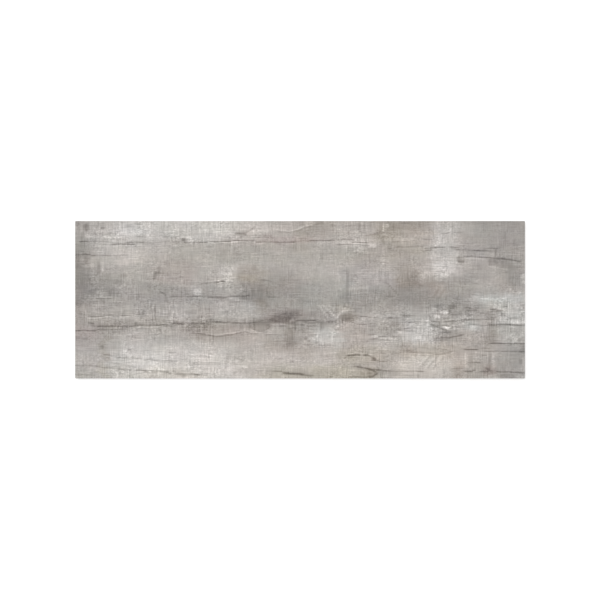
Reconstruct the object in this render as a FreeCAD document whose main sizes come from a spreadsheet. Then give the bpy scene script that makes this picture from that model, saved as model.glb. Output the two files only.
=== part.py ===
# Wood-look porcelain plank tile, in millimetres.
#
# One dry-pressed and fired plank that lies on its back with the printed face up. The face is
# a plain rectangle with a rounded arris. Below a straight land the sides draw in towards the
# back, so that the pressed blank leaves its die. The back is a grid of drafted cells, and the
# ribs left between them key the plank into its adhesive. The wood grain on the face is print
# and fine relief. The origin is the middle of the bed plane on which the ribs stand, +X runs
# along the plank and +Z out of the printed face.

import FreeCAD
import Part
import Sketcher
import os

SIZES = [
    ("face_length", 500.0, "long side of the printed face"),
    ("face_width", 175.0, "short side of the printed face"),
    ("thickness", 9.0, "rib tips to printed face"),
    ("corner_radius", 0.9, "rounding of the four upright corners"),
    ("arris_radius", 0.5, "rounding round the printed face"),
    ("draft_height", 4.5, "height of the drawn-in part of the sides"),
    ("back_inset", 0.6, "how far the sides draw in at the bed"),
    ("back_margin", 5.0, "least flat border between the cells and the back's edge"),
    ("cell_pitch", 20.0, "distance from one rib to the next"),
    ("rib_width", 3.0, "width of a rib at its tip"),
    ("rib_height", 0.7, "depth of the cells between the ribs"),
    ("rib_draft", 40.0, "slope of a cell's walls from the upright, in degrees"),
]

BACK_LENGTH = "Sizes.face_length - 2 * Sizes.back_inset"
BACK_WIDTH = "Sizes.face_width - 2 * Sizes.back_inset"
CELL_MOUTH = "Sizes.cell_pitch - Sizes.rib_width"
CELL_FLOOR = f"{CELL_MOUTH} - 2 * Sizes.rib_height * tan(Sizes.rib_draft * 1 deg)"

# A row of cells keeps the flat border at both ends, and its last cell needs no rib after it.
CELLS_IN_A_ROW = "floor(({back} - 2 * Sizes.back_margin + Sizes.rib_width) / Sizes.cell_pitch)"
CELLS_ALONG = CELLS_IN_A_ROW.format(back=BACK_LENGTH)
CELLS_ACROSS = CELLS_IN_A_ROW.format(back=BACK_WIDTH)
FIRST_CELL = "-({count} - 1) / 2 * Sizes.cell_pitch"

# A sketch numbers the two ends of a line from 1, and its origin is the start of its X axis.
LINE_START, LINE_END = range(1, 3)
SKETCH_X_AXIS = -1

# A wedge narrows along its own Y, which is turned to point up from the bed plane.
UPRIGHT = FreeCAD.Rotation(FreeCAD.Vector(1, 0, 0), 90)

ON_PLANE = 1e-6


def make_sheet(doc):
    """Spreadsheet with one row for each driving size: its name, its value and what it is."""
    sheet = doc.addObject("Spreadsheet::Sheet", "Sizes")
    for row, (name, value, meaning) in enumerate(SIZES, start=1):
        sheet.set(f"A{row}", name)
        sheet.set(f"B{row}", str(value))
        sheet.set(f"C{row}", meaning)
        sheet.setAlias(f"B{row}", name)
    doc.recompute()
    return sheet


def origin_feature(body, role):
    """A plane or axis of the body's own origin."""
    return next(item for item in body.Origin.OriginFeatures if item.Role == role)


def face_outline(body, sheet):
    """Sketch on the bed plane of the printed face's outline, centred, with its corners rounded."""
    sketch = body.newObject("Sketcher::SketchObject", "FaceOutline")
    sketch.AttachmentSupport = [(origin_feature(body, "XY_Plane"), "")]
    sketch.MapMode = "FlatFace"

    def constrain(*words):
        """Adds one constraint and returns its number."""
        return sketch.addConstraint(Sketcher.Constraint(*words))

    signs = [(-1, -1), (1, -1), (1, 1), (-1, 1)]
    corners = [
        FreeCAD.Vector(sheet.face_length / 2 * x, sheet.face_width / 2 * y, 0) for x, y in signs
    ]
    sides = [
        sketch.addGeometry(Part.LineSegment(here, there))
        for here, there in zip(corners, corners[1:] + corners[:1])
    ]
    for before, after in zip(sides, sides[1:] + sides[:1]):
        constrain("Coincident", before, LINE_END, after, LINE_START)
    bottom, right, top, left = sides
    for level in (bottom, top):
        constrain("Horizontal", level)
    for upright in (right, left):
        constrain("Vertical", upright)
    constrain("Symmetric", bottom, LINE_START, top, LINE_START, SKETCH_X_AXIS, LINE_START)
    along = constrain("DistanceX", bottom, LINE_START, bottom, LINE_END, sheet.face_length)
    across = constrain("DistanceY", right, LINE_START, right, LINE_END, sheet.face_width)
    sketch.setExpression(f"Constraints[{along}]", "Sizes.face_length")
    sketch.setExpression(f"Constraints[{across}]", "Sizes.face_width")

    # The rounding trims the sides but keeps their corner points, which the two sizes measure.
    trim_sides = True
    keep_corner_points = True
    for side in sides:
        sketch.fillet(side, LINE_END, sheet.corner_radius, trim_sides, keep_corner_points)
    arcs = [
        number
        for number, curve in enumerate(sketch.Geometry)
        if isinstance(curve, Part.ArcOfCircle)
    ]
    for arc in arcs[1:]:
        constrain("Equal", arcs[0], arc)
    rounding = constrain("Radius", arcs[0], sheet.corner_radius)
    sketch.setExpression(f"Constraints[{rounding}]", "Sizes.corner_radius")
    return sketch


def level_at(height, items, kind):
    """Names of those edges or faces, of that kind, that lie in the level plane at that height."""
    return [
        f"{kind}{number}"
        for number, item in enumerate(items, start=1)
        if abs(item.BoundBox.ZMin - height) < ON_PLANE and item.BoundBox.ZLength < ON_PLANE
    ]


def upright_faces(shape):
    """Names of the faces that stand as high as the whole shape."""
    return [
        f"Face{number}"
        for number, face in enumerate(shape.Faces, start=1)
        if abs(face.BoundBox.ZLength - shape.BoundBox.ZLength) < ON_PLANE
    ]


def add_lower_blank(body, sheet):
    """Lower part of the blank, which has the printed face's outline until its sides draw in."""
    lower = body.newObject("PartDesign::Pad", "LowerBlank")
    lower.Profile = face_outline(body, sheet)
    lower.setExpression("Length", "Sizes.draft_height")
    return lower


def add_drawn_in_sides(body, lower):
    """Slopes the lower sides in towards the back. They keep their outline at the land."""
    drawn_in = body.newObject("PartDesign::Draft", "DrawnInSides")
    drawn_in.Base = (lower, upright_faces(lower.Shape))
    drawn_in.NeutralPlane = (lower, level_at(lower.Shape.BoundBox.ZMax, lower.Shape.Faces, "Face"))
    drawn_in.setExpression("Angle", "atan(Sizes.back_inset / Sizes.draft_height)")
    drawn_in.Reversed = True
    return drawn_in


def add_land(body, lower):
    """Upper part of the blank, with straight sides up to the printed face."""
    land = body.newObject("PartDesign::Pad", "Land")
    land.Profile = (lower, level_at(lower.Shape.BoundBox.ZMax, lower.Shape.Faces, "Face"))
    land.setExpression("Length", "Sizes.thickness - Sizes.draft_height")
    return land


def add_arris(body, base):
    """Rounded edge all round the printed face."""
    arris = body.newObject("PartDesign::Fillet", "Arris")
    arris.Base = (base, level_at(base.Shape.BoundBox.ZMax, base.Shape.Edges, "Edge"))
    arris.setExpression("Radius", "Sizes.arris_radius")
    return arris


def add_keying_cells(body):
    """Grid of drafted cells in the back, with ribs between them that end on the bed plane."""
    cell = body.newObject("PartDesign::SubtractiveWedge", "KeyingCell")
    cell.AttachmentSupport = [(origin_feature(body, "XY_Plane"), "")]
    cell.MapMode = "FlatFace"
    cell.AttachmentOffset = FreeCAD.Placement(FreeCAD.Vector(), UPRIGHT)
    cell.setExpression("AttachmentOffset.Base.x", FIRST_CELL.format(count=CELLS_ALONG))
    cell.setExpression("AttachmentOffset.Base.y", FIRST_CELL.format(count=CELLS_ACROSS))
    cell.Ymin = 0
    cell.setExpression("Ymax", "Sizes.rib_height")
    for across in ("X", "Z"):
        cell.setExpression(f"{across}min", f"-({CELL_MOUTH}) / 2")
        cell.setExpression(f"{across}max", f"({CELL_MOUTH}) / 2")
        cell.setExpression(f"{across}2min", f"-({CELL_FLOOR}) / 2")
        cell.setExpression(f"{across}2max", f"({CELL_FLOOR}) / 2")
    body.Document.recompute()
    rows = []
    for role, count in (("X_Axis", CELLS_ALONG), ("Y_Axis", CELLS_ACROSS)):
        row = body.newObject("PartDesign::LinearPattern", f"CellsAlong{role[0]}")
        row.Direction = (origin_feature(body, role), [""])
        row.Mode = "Spacing"
        row.setExpression("Offset", "Sizes.cell_pitch")
        row.setExpression("Occurrences", count)
        rows.append(row)
    grid = body.newObject("PartDesign::MultiTransform", "KeyingGrid")
    grid.Originals = [cell]
    grid.Transformations = rows
    body.Tip = grid
    return grid


def make_plank(doc, sheet):
    """The whole plank, as one body."""
    body = doc.addObject("PartDesign::Body", "PlankTile")
    body.Label = "plank_tile"
    base = add_lower_blank(body, sheet)
    for add_feature in (add_drawn_in_sides, add_land, add_arris):
        doc.recompute()
        base = add_feature(body, base)
    doc.recompute()
    add_keying_cells(body)
    doc.recompute()
    return body


def check(doc, bodies):
    """Stops if an object failed, or a sub-part isn't one valid closed solid."""
    failed = [item.Name for item in doc.Objects if {"Invalid", "Error"} & set(item.State)]
    if failed:
        raise RuntimeError(f"these objects failed: {failed}")
    for body in bodies:
        shape = body.Shape
        if shape.isNull() or not shape.isValid() or len(shape.Solids) != 1:
            raise RuntimeError(f"{body.Label} is not one valid solid")


doc = FreeCAD.newDocument("PlankTile")
bodies = [make_plank(doc, make_sheet(doc))]
check(doc, bodies)
os.makedirs("parts", exist_ok=True)
for body in bodies:
    body.Shape.exportStep(os.path.join("parts", f"{body.Label}.step"))
    box = body.Shape.BoundBox
    print(f"{body.Label}: {box.XLength:.2f} x {box.YLength:.2f} x {box.ZLength:.2f} mm,", end=" ")
    print(f"{body.Shape.Volume / 1000:.1f} cm3, {len(body.Shape.Faces)} faces")
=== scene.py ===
import bpy
import numpy as np
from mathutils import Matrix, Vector


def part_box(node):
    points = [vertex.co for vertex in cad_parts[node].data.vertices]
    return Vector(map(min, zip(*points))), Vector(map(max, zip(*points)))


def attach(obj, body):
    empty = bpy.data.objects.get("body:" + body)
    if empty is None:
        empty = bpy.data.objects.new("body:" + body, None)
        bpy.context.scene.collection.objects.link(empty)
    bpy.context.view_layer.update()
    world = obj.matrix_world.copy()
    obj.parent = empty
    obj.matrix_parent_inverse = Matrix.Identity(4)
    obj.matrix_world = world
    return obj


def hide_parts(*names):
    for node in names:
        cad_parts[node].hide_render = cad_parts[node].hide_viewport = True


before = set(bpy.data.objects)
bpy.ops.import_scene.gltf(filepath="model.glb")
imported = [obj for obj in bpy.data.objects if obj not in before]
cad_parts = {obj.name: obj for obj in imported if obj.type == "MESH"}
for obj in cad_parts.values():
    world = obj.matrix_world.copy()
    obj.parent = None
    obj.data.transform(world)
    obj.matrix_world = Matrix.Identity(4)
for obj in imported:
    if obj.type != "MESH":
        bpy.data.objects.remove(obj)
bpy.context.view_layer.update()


# The plank: one blank of porcelain stoneware, dry-pressed in a die, printed by ink jet with the
# look of weathered grey boards, given a matt glaze and fired. Its face carries a fine relief of
# saw marks, grain and cracks that lies under the print, and its bare back is ribbed.

low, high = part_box("plank_tile")
length, width, thickness = high - low

CORNER_RADIUS = 0.0009
ARRIS_RADIUS = 0.0005
DRAFT_HEIGHT = 0.0045
BACK_INSET = 0.0006
CELLS_ALONG, CELLS_ACROSS = 24, 8
CELL_PITCH = 0.020
RIB_WIDTH = 0.003
RIB_HEIGHT = 0.0007
RIB_DRAFT = np.radians(40)

FACE_STEPS_ALONG = 280
FACE_STEPS_ACROSS = 280
ARRIS_STEPS = 4
CORNER_STATIONS = 5
SHARP_ANGLE = np.radians(30)

# The print is laid out in the photograph's frame, in pixels from its upper left corner.
FACE_PIXELS = 449.9
FACE_MIDDLE = (300.06, 299.75)
PIXEL = length / FACE_PIXELS


def face_grid():
    """Level points over the face inside its arris, equally spaced along and across, row by row
    from the front left corner. Each corner point moves in to the middle of its rounded corner."""
    half_length = length / 2 - ARRIS_RADIUS
    half_width = width / 2 - ARRIS_RADIUS
    along = np.linspace(-half_length, half_length, FACE_STEPS_ALONG + 1)
    across = np.linspace(-half_width, half_width, FACE_STEPS_ACROSS + 1)
    x, y = np.meshgrid(along, across)
    pull = (CORNER_RADIUS - ARRIS_RADIUS) * (1 - np.sqrt(0.5))
    ends = np.ix_([0, -1], [0, -1])
    x[ends] -= pull * np.sign(x[ends])
    y[ends] -= pull * np.sign(y[ends])
    return x, y


def round_the_grid(index):
    """Numbers of a grid's border points in order round it, anticlockwise from its first point."""
    return np.concatenate([index[0, :-1], index[:-1, -1], index[-1, :0:-1], index[:0:-1, 0]])


def soft_step(t):
    """Smooth rise from 0 to 1 while t goes from 0 to 1: three t squared less two t cubed."""
    t = np.clip(t, 0, 1)
    return t * t * (3 - 2 * t)


LATTICE_POINTS = 97


def cloud(u, v, along, across, seed):
    """Random field from -1 to 1: a lattice of random numbers with that spacing along and across,
    blended between each point's four nearest by soft steps. Past its end it starts again."""
    lattice = np.random.default_rng(seed).uniform(-1, 1, (LATTICE_POINTS, LATTICE_POINTS))
    p, q = u / along, v / across
    column, row = np.floor(p).astype(int), np.floor(q).astype(int)
    left, right = column % LATTICE_POINTS, (column + 1) % LATTICE_POINTS
    top, bottom = row % LATTICE_POINTS, (row + 1) % LATTICE_POINTS
    s, t = soft_step(p - column), soft_step(q - row)
    near = lattice[left, top] * (1 - s) + lattice[right, top] * s
    far = lattice[left, bottom] * (1 - s) + lattice[right, bottom] * s
    return near * (1 - t) + far * t


def stain(u, v, left, right, top, bottom, firm):
    """Soft round-cornered spot that fills a box. Its distance from the box's middle is the cube
    root of the summed cubes of the shares of the half sizes, and it fades about distance 1."""
    along = abs(2 * u - left - right) / (right - left)
    across = abs(2 * v - top - bottom) / (bottom - top)
    return soft_step(0.5 + firm * (1 - np.cbrt(along**3 + across**3)))


LONGEST_FADE = 4


def crack(u, v, stroke, points):
    """Line along the grain: a bell of that stroke across it, centred on a height that goes from
    point to point. Each end fades over the longest fade, or over a third of a short line."""
    along, heights = np.transpose(points)
    offset = v - np.interp(u, along, heights)
    fade = min(LONGEST_FADE, (along[-1] - along[0]) / 3)
    ends = soft_step((u - along[0]) / fade + 0.5) * soft_step((along[-1] - u) / fade + 0.5)
    return ends * np.exp(-((offset / stroke) ** 2))


# Stains of the print: left, right, top and bottom in pixels, then how many levels of 255 it is
# lighter, how many levels warmer and how many levels pinker than the board around it.
STAINS = {
    "darkest of the left end": (60, 93, 268, 303, -16, -2, 0),
    "dark foot of the left end": (60, 88, 300, 322, -10, 0, 1),
    "brown under the left end": (60, 112, 319, 348, -11, 0, 1),
    "brightest of the upper left": (112, 145, 222, 236, 5, -2, 0),
    "white patch by the knot speck": (184, 196, 222, 240, 3, -1, 0),
    "pale patch under the first crack": (116, 147, 247, 262, 13, 2, 1),
    "grey upper band": (165, 430, 244, 263, -3, 1, -1),
    "pinkish upper middle": (255, 305, 236, 244, -3, 2, 2),
    "brown right of it": (292, 310, 230, 252, -10, 2, 0),
    "brown at the top": (300, 332, 214, 236, -13, 2, 0),
    "dark brown at the top": (372, 398, 218, 240, -13, 4, 0),
    "brown top edge": (385, 434, 214, 228, -10, 2, 0),
    "tan over the brown": (384, 418, 240, 257, -8, 2, 0),
    "pink stain on the left": (160, 195, 258, 284, -8, 2, 1.5),
    "grey left": (86, 122, 268, 303, -15, -2, 0),
    "grey left inner": (118, 150, 268, 288, -6, -1, 0),
    "dark band": (112, 230, 285, 304, -17, -2, 0),
    "pale ring in the dark band": (192, 202, 286, 296, 11, -2, 0),
    "brown patch": (236, 264, 266, 284, -13, 4, 0),
    "darkest of the brown patch": (240, 268, 283, 304, -28, 2, 0),
    "tail of the brown patch": (254, 268, 300, 313, -16, 4, 0),
    "shade beside the brown patch": (262, 306, 276, 312, -19, 1, 0),
    "green-grey middle": (298, 346, 281, 308, -11, -2, -1),
    "upright shade": (342, 352, 268, 305, -2, -2, 0),
    "pinkish middle": (350, 392, 262, 286, -3, 0, 1),
    "brown right patch": (392, 446, 277, 308, -24, 3, 0),
    "top of the brown right patch": (396, 418, 263, 286, -16, 3, 0),
    "rust on the brown patch": (426, 446, 283, 296, 6, 4, 1),
    "pale block": (431, 459, 210, 280, 10, -2, 0),
    "brightest of the pale block": (433, 458, 261, 276, 3, 0, -0.5),
    "fringe of the pale block": (416, 436, 270, 280, 10, 1, 0),
    "grey upper right": (468, 540, 210, 254, -15, -2, 0),
    "grey under it": (461, 486, 248, 258, -6, -2, 0),
    "dark right patch": (496, 522, 258, 272, -9, -1, 0),
    "dark right edge": (510, 530, 264, 289, -9, -2, 0),
    "grey right middle": (466, 490, 262, 283, -8, -1, 0),
    "pale green right": (470, 540, 293, 303, 11, -4, -1),
    "shade over the right crack": (484, 498, 308, 322, -10, 1, 0),
    "pale right end": (499, 540, 305, 343, 6, -3, -1),
    "brown upright": (486, 497, 318, 346, -10, 1, -0.5),
    "smoke along the long crack": (96, 262, 320, 329, -10, 1, 0),
    "pink under the long crack": (184, 262, 326, 341, -10, 2, 1),
    "shade at the broken crack": (188, 214, 306, 338, -13, 1, 0),
    "smoke before the knot": (244, 280, 317, 328, -8, 1, 0),
    "knot": (266, 303, 309, 325, -19, 2, 1.4),
    "drip under the knot": (284, 295, 322, 351, -22, 2, 0),
    "shade beside the drip": (264, 288, 338, 352, -11, 2, 0),
    "smoke right of the knot": (296, 336, 314, 328, -11, -1, 0),
    "small knot": (338, 356, 312, 322, -14, 3, 0),
    "cap of the small knot": (336, 352, 304, 311, 7, 4, 0),
    "shade under the knot": (292, 314, 322, 360, -11, 1, 0),
    "worn patch under the crack": (312, 342, 326, 346, 16, -3, -1),
    "tan right of the small knot": (340, 400, 320, 336, -5, 1, 0),
    "pale right middle": (405, 440, 317, 346, 15, -2, 0),
    "pale spot by the flecks": (464, 480, 322, 330, 7, -3, -1),
    "tan seam": (396, 456, 343, 356, -9, 4, 0),
    "olive lower middle": (338, 386, 346, 363, -1, 4, -1),
    "tan beside the small knot": (382, 408, 321, 335, -9, 1, 0),
    "tan under the pale middle": (398, 420, 349, 357, -5, 2, 0),
    "pale tan lower right": (393, 457, 352, 380, 18, 3, 0),
    "brown foot lower right": (450, 462, 364, 385, -12, 2, 0),
    "brown lower right": (450, 478, 354, 380, -6, 2, 0),
    "shade lower right": (476, 512, 360, 376, -6, 1, 0),
    "dark spot lower right": (481, 496, 366, 376, -16, 3, 2),
    "grey lower right end": (497, 540, 341, 385, -13, -3, 0),
    "yellowed upright": (99, 108, 334, 385, -8, 3, -1),
    "pale lower middle": (240, 342, 350, 368, 12, 1, 0),
    "olive of the eye": (314, 376, 366, 385, -3, 2.6, -1.6),
    "tan in the brown patch": (240, 256, 275, 282, 2, 4, -0.5),
    "eye": (360, 378, 368, 377, -12, 2, 0),
    "pale streak of the right end": (477, 511, 298.5, 308, 9, -1, -1),
}

# Shades of the print: left, right, top and bottom in pixels, and how many levels of 255 it is
# lighter, or below zero darker, than the board around it, in the same hue.
SHADES = {
    "dark left end": (60, 88, 212, 300, -20),
    "dark neck of the left end": (60, 94, 250, 268, -9),
    "shade by the long crack": (96, 130, 305, 338, -6),
    "pale upper left": (97, 248, 217, 240, 15),
    "pale left shoulder": (98, 138, 230, 264, 5),
    "dark top of the left end": (60, 126, 214, 226, -12),
    "white patch over the split": (200, 238, 226, 240, 8),
    "pale top": (250, 272, 224, 236, 8),
    "worn patch beside it": (147, 165, 244, 258, 4),
    "pale check": (332, 376, 235, 248, 8),
    "grey by the left end": (98, 118, 276, 294, -6),
    "shade of the hook": (147, 163, 268, 288, -8),
    "worn spot above the dark patch": (221, 238, 264, 281, 13),
    "dark band, right part": (346, 394, 288, 312, -20),
    "shade right of the rust": (446, 474, 278, 303, -17),
    "shade of the curved crack": (486, 513, 258, 264, -6),
    "dark flecked right": (444, 478, 302, 313, -16),
    "dark flecks": (432, 463, 329, 342, -12),
    "pale lower left": (107, 242, 345, 385, 24),
    "brightest of the lower left": (128, 172, 350, 374, 8),
    "bright lower left inner": (210, 232, 352, 385, 5),
    "shade over the first crack": (168, 193, 229, 241, -6),
    "shade by the left specks": (88, 106, 224, 238, -6),
    "shade of the upper edge": (140, 172, 216, 226, -5),
    "shade under the left check": (84, 102, 256, 264, -5),
    "shade of the grey left": (96, 108, 274, 288, -4),
    "shade over the long crack": (136, 176, 304, 320, -9),
    "shade at the left of it": (120, 138, 300, 314, -4),
    "shade at the left end": (60, 102, 298, 314, -4),
    "shade before the break": (166, 182, 316, 332, -6),
    "smoke after the break": (212, 256, 317, 329, -5),
    "smoke round the drip": (276, 302, 322, 334, -5),
    "shade right of the knot": (304, 330, 306, 334, -10),
    "shade over the brown patch": (262, 292, 266, 280, -6),
    "shade of the lower boards": (234, 254, 344, 360, -7),
    "shade of the lower left": (104, 122, 344, 358, -7),
    "shade at the lower left crack": (112, 132, 364, 374, -6),
    "shade of the left boards": (84, 98, 332, 342, -6),
    "shade of the flecked wood": (428, 450, 301, 318, -8),
    "shade of the tan": (398, 430, 221, 236, -6),
    "shade of the right patch": (497, 513, 266, 293, -12),
    "shade of the upper right": (498, 520, 238, 256, -6),
    "shade at the top of the pale block": (438, 456, 214, 230, -5),
    "shade beside the pale check": (358, 380, 252, 267, -5),
    "shade over the small knot": (314, 354, 299, 314, -8),
    "shade over the right crack, left": (380, 402, 303, 314, -5),
    "shade over the brown upright": (474, 494, 304, 318, -5),
    "shade under the brown upright": (454, 494, 332, 352, -5),
    "shade of the middle boards": (262, 294, 240, 276, -3),
    "shade at the upper right edge": (516, 540, 252, 266, -5),
    "shade under the pale block": (428, 446, 274, 284, -4),
    "light of the upper right": (462, 484, 220, 234, 4),
    "light of the curved crack": (462, 480, 257, 266, 4),
    "light of the middle": (318, 340, 256, 276, 5),
    "light of the green-grey": (334, 350, 274, 298, 5),
    "light under the right crack": (366, 384, 308, 346, 5),
    "light of the tan seam": (380, 398, 337, 348, 9),
    "shade of the squiggle": (338, 372, 344, 366, -4),
    "light of the foot": (400, 412, 362, 374, 5),
    "light of the lower right": (458, 478, 352, 364, 3),
    "light of the top": (246, 266, 222, 238, 6),
    "light by the first crack": (82, 140, 230, 248, 4),
    "light over the brown patch": (230, 254, 264, 276, 5),
    "light under the lens": (240, 260, 326, 346, 4),
    "light at the broken crack": (182, 198, 306, 318, 5),
    "light under the long crack": (122, 146, 334, 350, 4),
    "shade of the left edge": (60, 81, 303, 340, -5),
    "shade by the small checks": (97, 119, 316, 326, -6),
    "shade after the small checks": (148, 162, 322, 331, -4),
    "shade over the flecks": (437, 449, 315, 326, -6),
    "shade at the end of the tan": (434, 446, 341, 350, -4),
    "shade at the right seam": (476, 492, 340, 351, -5),
    "shade of the pale foot": (378, 404, 351, 361, -6),
    "shade under the pale foot": (386, 402, 365, 377, -6),
    "shade at the end of the pale check": (366, 380, 234, 247, -4),
    "shade of the upper middle": (313, 328, 240, 250, -4),
    "light of the drip": (300, 312, 338, 347, 3),
    "light of the right seam": (450, 464, 341, 350, 5),
    "light of the right edge": (518, 540, 302, 320, 6),
    "light of the bottom edge": (225, 264, 372, 385, 4),
    "light at the end of the lower crack": (186, 206, 364, 385, 5),
    "shade of the middle brown": (270, 288, 284, 294, -4),
    "shade at the right edge": (518, 540, 258, 272, -4),
    "shade of the foot by the eye": (334, 348, 362, 370, -4),
    "shade of the top edge": (304, 545, 214, 225.6, -6),
    "light of the top edge": (92, 300, 214, 225.4, 4),
    "shade along the foot": (84, 300, 371.4, 376, -4),
    "shade along the right foot": (304, 520, 370.6, 377.4, -4),
    "foot of the brown patch": (226, 292, 274, 294, -3),
    "shade of the right brown": (394, 446, 288, 306, -4),
    "shade under the first crack": (220, 259, 243, 265, -4),
    "shade of the pale check": (344, 398, 226, 268, -3),
    "shade of the pale block": (434, 468, 226, 254, -3),
    "shade of the pale lower left": (156, 182, 340, 376, -3),
    "shade over the foot": (224, 262, 346, 366, -3),
    "shade under the drip": (292, 326, 346, 356, -3),
    "shade of the left patch": (136, 158, 276, 298, -3),
    "shade beside the left end": (92, 110, 276, 296, -3),
    "shade of the lower left end": (82, 104, 340, 372, -3),
    "light of the right middle": (384, 456, 330, 346, 3),
    "light of the worn patch": (318, 344, 334, 352, 3),
    "light of the left middle": (106, 134, 264, 292, 3),
    "light of the lower right board": (492, 514, 350, 370, 4),
    "light over the right foot": (440, 480, 344, 360, 2),
    "light of the olive foot": (308, 336, 364, 385, 4),
    "shade under the pale streak": (478, 498, 307, 315, -7),
    "shade over the pale streak": (476, 500, 290, 298, -5),
    "light over the long crack's middle": (204, 236, 313.5, 321.5, 6),
    "light of the smoke's top": (274, 297, 310.5, 317.5, 6),
    "light of the foot's edge": (218, 268, 373, 381, 6),
    "light of the lower right corner": (504, 527, 371, 381, 8),
    "light under the wavy edge's end": (242, 272, 326, 350, 4),
    "shade of the left light": (121, 132, 245, 257, -7),
    "shade of the top, right of the middle": (395, 427, 223, 234, -6),
    "light under the top, right of the middle": (396, 424, 237, 243.5, 5),
    "light of the dark band's top": (256, 273, 263.5, 271.5, 6),
    "shade of the brown patch's top": (409, 422, 274.5, 282.5, -8),
    "light left of the tan seam": (407, 425, 337, 346, 7),
    "shade of the flecked wood's top": (446, 462, 305, 314, -8),
    "light under the pale streak's end": (487, 507, 308.5, 315, 8),
}

# Tints of the print: left, right, top and bottom in pixels, then how many levels of 255 it is
# warmer and how many levels pinker than the board around it, and just as light.
TINTS = {
    "tan at the top": (396, 428, 226, 243, 4, 0),
    "olive foot": (254, 332, 368, 385, 2, -1),
    "pink of the lower left": (82, 110, 344, 370, 1, 1.6),
    "cool upper left": (60, 165, 212, 262, -2, 0),
    "cool lower left": (60, 190, 336, 366, -2, 0),
    "warm top": (232, 302, 222, 247, 1.5, 0.5),
    "warm tan top": (362, 432, 226, 268, 2, 0),
    "cool brown patch": (222, 312, 284, 322, -2, 0),
    "cool heart of the brown patch": (240, 268, 288, 310, -2, 0),
    "cool right patch": (394, 446, 286, 312, -4, 0),
    "cool band": (345, 392, 270, 302, -2, -0.3),
    "cool right middle": (374, 432, 312, 346, -1.5, 0),
    "warm under the long crack": (212, 282, 325, 347, 2, 0.3),
    "warm under the small knot": (338, 370, 320, 346, 2.5, 1.4),
    "warm foot": (236, 402, 350, 385, 2, 0),
    "yellow foot": (266, 372, 366, 385, 3, -0.5),
    "yellow foot on the left": (150, 202, 368, 385, 3, -0.5),
    "warm lower right": (434, 468, 338, 366, 2, 0),
    "pink by the left check": (88, 114, 246, 258, 0, 1),
    "pink over the first crack": (204, 226, 232, 240, 0, 1),
    "pink by the pale check": (364, 384, 243, 258, 0, 1),
    "olive at the top": (376, 400, 222, 240, 0, -1.6),
    "cool upper edge": (140, 234, 214, 240, -1.5, -0.6),
    "warm upper edge": (303, 384, 216, 240, 1.5, 0.3),
    "warm left": (80, 172, 254, 282, 1.2, -0.3),
    "cool over the long crack": (128, 218, 296, 320, -1.5, 0.5),
    "cool right end": (436, 540, 290, 326, -1.8, 0),
    "cool foot": (284, 338, 356, 385, -1.5, 0),
    "cool foot on the left": (60, 140, 346, 385, -1.2, -0.8),
    "warm lower middle": (318, 402, 338, 376, 1.5, 0.4),
    "pink lower right": (454, 500, 334, 366, 1.5, 1),
    "pink upper right": (330, 520, 232, 280, 0, 0.7),
    "pink lower boards": (240, 322, 334, 362, 0, 0.8),
    "pink by the first crack": (255, 312, 236, 258, 0, 0.8),
    "pink by the left crack": (70, 97, 325, 337, 1, 1.5),
}

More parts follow.
